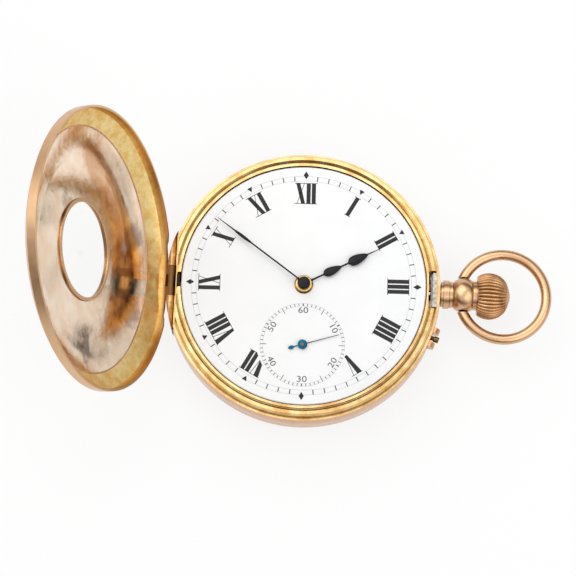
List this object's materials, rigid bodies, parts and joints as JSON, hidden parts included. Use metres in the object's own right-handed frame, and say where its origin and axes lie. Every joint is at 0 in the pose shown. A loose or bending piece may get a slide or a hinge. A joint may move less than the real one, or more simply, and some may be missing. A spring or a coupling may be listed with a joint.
{
  "type": "half hunter pocket watch",
  "caption": "Hinged-lid pocket watch with a glazed window in the lid, a swinging bow, a press-and-turn crown and a pin for setting the hands.",
  "frame": {"origin": "centre of the flat middle of the back cover's outer face, where the watch rests", "axes": "+Z out of the dial, +X towards the crown and bow, +Y towards 12 o'clock"},
  "size_m": [0.0929, 0.0504, 0.0532],
  "materials": {
    "yellow_gold": "polished yellow gold of the case middle and dust cover",
    "rose_gold": "polished rose gold of the lid, back, pendant, bow and crown",
    "spring_steel": "hardened spring steel",
    "polished_steel": "polished steel of pinions, arbors, screws and winding parts",
    "gilt_brass": "gilded brass of plates and wheels",
    "white_enamel": "fired white enamel on copper",
    "black_hand": "blackened steel hands",
    "blue_hand": "heat-blued steel",
    "window_glass": "clear polished glass",
    "ruby": "polished synthetic ruby"
  },
  "bodies": {
    "case": {"case_middle": "yellow_gold", "pendant": "rose_gold", "lid_hinge_pin": "polished_steel", "back_hinge_pin": "polished_steel", "cuvette_hinge_pin": "polished_steel", "case_spring_screws": "polished_steel", "case_screws": "polished_steel", "main_plate": "gilt_brass", "barrel_bridge": "gilt_brass", "train_bridge": "gilt_brass", "balance_cock": "gilt_brass", "pallet_bridge": "gilt_brass", "plate_screws": "polished_steel", "jewels": "ruby", "click_spring": "spring_steel", "hairspring": "spring_steel", "dial": "white_enamel"},
    "front_lid": {"front_cover": "rose_gold", "window_bezel": "rose_gold", "window_glass": "window_glass"},
    "lift_spring": {"lid_lift_spring": "spring_steel"},
    "back_lid": {"back_cover": "rose_gold"},
    "dust_lid": {"dust_cover": "yellow_gold"},
    "bow": {"bow": "rose_gold"},
    "sleeve": {"stem_sleeve": "polished_steel"},
    "crown": {"crown": "rose_gold", "stem": "polished_steel"},
    "catch_spring": {"lid_catch_spring": "spring_steel"},
    "winding_pinion": {"winding_pinion": "polished_steel"},
    "clutch": {"sliding_clutch": "polished_steel"},
    "crown_wheel": {"crown_wheel": "polished_steel"},
    "ratchet": {"ratchet_wheel": "polished_steel", "barrel_arbor": "polished_steel"},
    "click": {"click": "polished_steel"},
    "push_pin": {"setting_push_pin": "polished_steel"},
    "setting_lever": {"setting_lever": "polished_steel"},
    "minute": {"cannon_pinion": "polished_steel", "minute_hand": "black_hand"},
    "minute_wheel": {"minute_wheel": "gilt_brass"},
    "hour": {"hour_wheel": "gilt_brass", "hour_hand": "black_hand"},
    "setting_wheel": {"setting_wheel": "polished_steel"},
    "barrel": {"barrel": "gilt_brass", "barrel_cover": "gilt_brass", "mainspring": "spring_steel"},
    "center": {"center_wheel": "gilt_brass"},
    "third": {"third_wheel": "gilt_brass"},
    "seconds": {"fourth_wheel": "gilt_brass", "seconds_hand": "blue_hand"},
    "escape": {"escape_wheel": "polished_steel"},
    "pallet": {"pallet_fork": "polished_steel"},
    "balance": {"balance_wheel": "gilt_brass", "balance_staff": "polished_steel"},
    "regulator": {"regulator": "polished_steel"}
  },
  "joints": [
    {"name": "front_lid_hinge", "type": "hinge", "parent": "case", "child": "front_lid", "pos_m": [-0.0244, 0, 0.0082], "axis": [0, 1, 0], "range_deg": [0, 114.2]},
    {"name": "lift_spring_flex", "type": "hinge", "parent": "case", "child": "lift_spring", "pos_m": [-0.01768, -0.01473, 0], "axis": [0, 0, 1], "range_deg": [-1.2, 0]},
    {"name": "back_cover_hinge", "type": "hinge", "parent": "case", "child": "back_lid", "pos_m": [-0.0244, 0, 0.0032], "axis": [0, 1, 0], "range_deg": [0, 110]},
    {"name": "dust_cover_hinge", "type": "hinge", "parent": "case", "child": "dust_lid", "pos_m": [-0.0223, 0, 0.0025], "axis": [0, 1, 0], "range_deg": [0, 64]},
    {"name": "bow_swing", "type": "hinge", "parent": "case", "child": "bow", "pos_m": [0.02975, 0, 0.0067], "axis": [0, 1, 0], "range_deg": [-85, 85]},
    {"name": "crown_press", "type": "slide", "parent": "case", "child": "sleeve", "axis": [-1, 0, 0], "range_m": [0, 0.00045], "stiffness_N_per_m": 400, "springref_m": -0.0005},
    {"name": "crown_turn", "type": "hinge", "parent": "sleeve", "child": "crown", "pos_m": [0, 0, 0.0067], "axis": [1, 0, 0], "continuous": true},
    {"name": "catch_spring_flex", "type": "hinge", "parent": "case", "child": "catch_spring", "pos_m": [0.01817, 0.01514, 0], "axis": [0, 0, 1], "range_deg": [-1.75, 0]},
    {"name": "winding_pinion_turn", "type": "hinge", "parent": "case", "child": "winding_pinion", "pos_m": [0, 0, 0.0067], "axis": [1, 0, 0], "continuous": true},
    {"name": "clutch_slide", "type": "slide", "parent": "winding_pinion", "child": "clutch", "axis": [-1, 0, 0], "range_m": [0, 0.0008]},
    {"name": "crown_wheel_turn", "type": "hinge", "parent": "case", "child": "crown_wheel", "pos_m": [0.01565, 0, 0], "axis": [0, 0, 1], "continuous": true},
    {"name": "ratchet_turn", "type": "hinge", "parent": "case", "child": "ratchet", "pos_m": [0.00636, 0.00758, 0], "axis": [0, 0, 1], "continuous": true},
    {"name": "click_lift", "type": "hinge", "parent": "case", "child": "click", "pos_m": [0.00219, 0.01544, 0], "axis": [0, 0, 1], "range_deg": [-8, 0]},
    {"name": "setting_pin_press", "type": "slide", "parent": "case", "child": "push_pin", "axis": [-0.9444, 0.3289, 0], "range_m": [0, 0.00045], "stiffness_N_per_m": 100, "springref_m": -0.0005},
    {"name": "setting_lever_swing", "type": "hinge", "parent": "case", "child": "setting_lever", "pos_m": [0.0155, -0.0126, 0], "axis": [0, 0, 1], "range_deg": [0, 4.2]},
    {"name": "hand_setting", "type": "hinge", "parent": "case", "child": "minute", "pos_m": [0, 0, 0], "axis": [0, 0, 1], "continuous": true},
    {"name": "minute_wheel_turn", "type": "hinge", "parent": "case", "child": "minute_wheel", "pos_m": [0.00564, -0.00205, 0], "axis": [0, 0, 1], "continuous": true},
    {"name": "hour_hand_turn", "type": "hinge", "parent": "case", "child": "hour", "pos_m": [0, 0, 0], "axis": [0, 0, 1], "continuous": true},
    {"name": "setting_wheel_turn", "type": "hinge", "parent": "case", "child": "setting_wheel", "pos_m": [0.01209, -0.00008, 0], "axis": [0, 0, 1], "continuous": true},
    {"name": "barrel_turn", "type": "hinge", "parent": "case", "child": "barrel", "pos_m": [0.00636, 0.00758, 0], "axis": [0, 0, 1], "continuous": true},
    {"name": "center_wheel_turn", "type": "hinge", "parent": "case", "child": "center", "pos_m": [0, 0, 0], "axis": [0, 0, 1], "continuous": true},
    {"name": "third_wheel_turn", "type": "hinge", "parent": "case", "child": "third", "pos_m": [-0.00401, -0.00651, 0], "axis": [0, 0, 1], "continuous": true},
    {"name": "seconds_turn", "type": "hinge", "parent": "case", "child": "seconds", "pos_m": [0.0002, -0.0113, 0], "axis": [0, 0, 1], "continuous": true},
    {"name": "escape_wheel_turn", "type": "hinge", "parent": "case", "child": "escape", "pos_m": [-0.00476, -0.0131, 0], "axis": [0, 0, 1], "continuous": true},
    {"name": "pallet_fork_swing", "type": "hinge", "parent": "case", "child": "pallet", "pos_m": [-0.00775, -0.01138, 0], "axis": [0, 0, 1], "range_deg": [-2.5, 2.5]},
    {"name": "balance_swing", "type": "hinge", "parent": "case", "child": "balance", "pos_m": [-0.01139, -0.00928, 0], "axis": [0, 0, 1], "range_deg": [-150, 150]},
    {"name": "regulator_swing", "type": "hinge", "parent": "case", "child": "regulator", "pos_m": [-0.01139, -0.00928, 0], "axis": [0, 0, 1], "range_deg": [-12, 12]}
  ],
  "couplings": [
    {"joint": "lift_spring_flex", "follows": "front_lid_hinge", "ratio": -0.010218},
    {"joint": "dust_cover_hinge", "follows": "back_cover_hinge", "ratio": 0.58},
    {"joint": "catch_spring_flex", "follows": "crown_press", "rad_per_m": -66.05},
    {"joint": "winding_pinion_turn", "follows": "crown_turn", "ratio": 1},
    {"joint": "crown_wheel_turn", "follows": "crown_turn", "ratio": 0.66667},
    {"joint": "ratchet_turn", "follows": "crown_turn", "ratio": -0.47619},
    {"joint": "setting_lever_swing", "follows": "setting_pin_press", "rad_per_m": 161.18},
    {"joint": "clutch_slide", "follows": "setting_pin_press", "ratio": 1.7778},
    {"joint": "minute_wheel_turn", "follows": "hand_setting", "ratio": -0.33333},
    {"joint": "hour_hand_turn", "follows": "hand_setting", "ratio": 0.083333},
    {"joint": "setting_wheel_turn", "follows": "hand_setting", "ratio": 0.66667},
    {"joint": "center_wheel_turn", "follows": "barrel_turn", "ratio": -6.5},
    {"joint": "third_wheel_turn", "follows": "barrel_turn", "ratio": 52},
    {"joint": "seconds_turn", "follows": "barrel_turn", "ratio": -390},
    {"joint": "escape_wheel_turn", "follows": "barrel_turn", "ratio": 3900}
  ]
}
